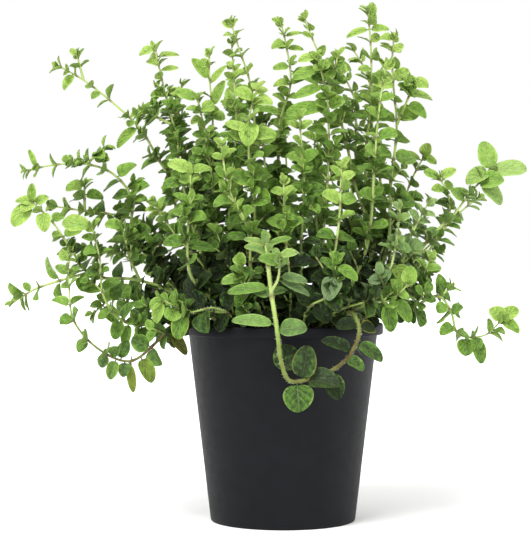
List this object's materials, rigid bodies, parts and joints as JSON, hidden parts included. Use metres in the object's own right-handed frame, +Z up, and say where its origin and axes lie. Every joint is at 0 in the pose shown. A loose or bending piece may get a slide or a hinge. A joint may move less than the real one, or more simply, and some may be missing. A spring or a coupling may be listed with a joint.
{
  "type": "potted oregano plant",
  "caption": "Bushy oregano plant with many thin leafy stems, some arching and trailing over the rim, in a plain dark tapered nursery pot filled with soil",
  "frame": {"origin": "middle of the pot's underside, on the surface that it stands on", "axes": "+Z up along the pot's axis, -Y the front, +X to the right seen from the front"},
  "size_m": [0.3348, 0.2083, 0.3387],
  "materials": {
    "pot": "moulded, slightly satin",
    "soil": "loose peat",
    "foliage": "living leaves and stems, finely hairy"
  },
  "bodies": {
    "root": {"pot": "pot", "soil": "soil", "upright_far_left": "foliage", "upright_left_tall": "foliage", "upright_left_small": "foliage", "upright_left_mid": "foliage", "upright_slim": "foliage", "upright_tall_centre_left": "foliage", "upright_rear_left": "foliage", "upright_cluster_left": "foliage", "upright_front_centre": "foliage", "upright_centre_tall": "foliage", "upright_oblique": "foliage", "upright_centre_right": "foliage", "upright_tall_right": "foliage", "upright_right": "foliage", "upright_right_inner": "foliage", "upright_right_rear": "foliage", "upright_rear_right": "foliage", "inner_left": "foliage", "inner_centre": "foliage", "inner_centre_right": "foliage", "inner_right": "foliage", "inner_oblique": "foliage", "inner_front_right": "foliage", "inner_front_centre": "foliage", "right_mid": "foliage", "right_outer": "foliage", "right_far": "foliage", "right_far_side": "foliage", "right_low": "foliage", "right_trailing": "foliage", "right_silvery": "foliage", "right_silvery_front": "foliage", "right_rim": "foliage", "left_front_upright": "foliage", "left_far_high": "foliage", "left_far_mid": "foliage", "left_level": "foliage", "left_low_outer": "foliage", "left_level_inner": "foliage", "left_hanging": "foliage", "left_rim": "foliage", "left_inner_low": "foliage", "left_inner_mid": "foliage", "front_trailing": "foliage", "front_left_light": "foliage", "front_left_inner": "foliage", "front_right_inner": "foliage", "rear_left": "foliage", "rear_centre": "foliage", "rear_right": "foliage", "rear_left_low": "foliage", "rear_right_low": "foliage", "rear_trailing": "foliage", "rear_trailing_left": "foliage", "rear_inner_right": "foliage", "rear_inner_left": "foliage"}
  },
  "joints": []
}
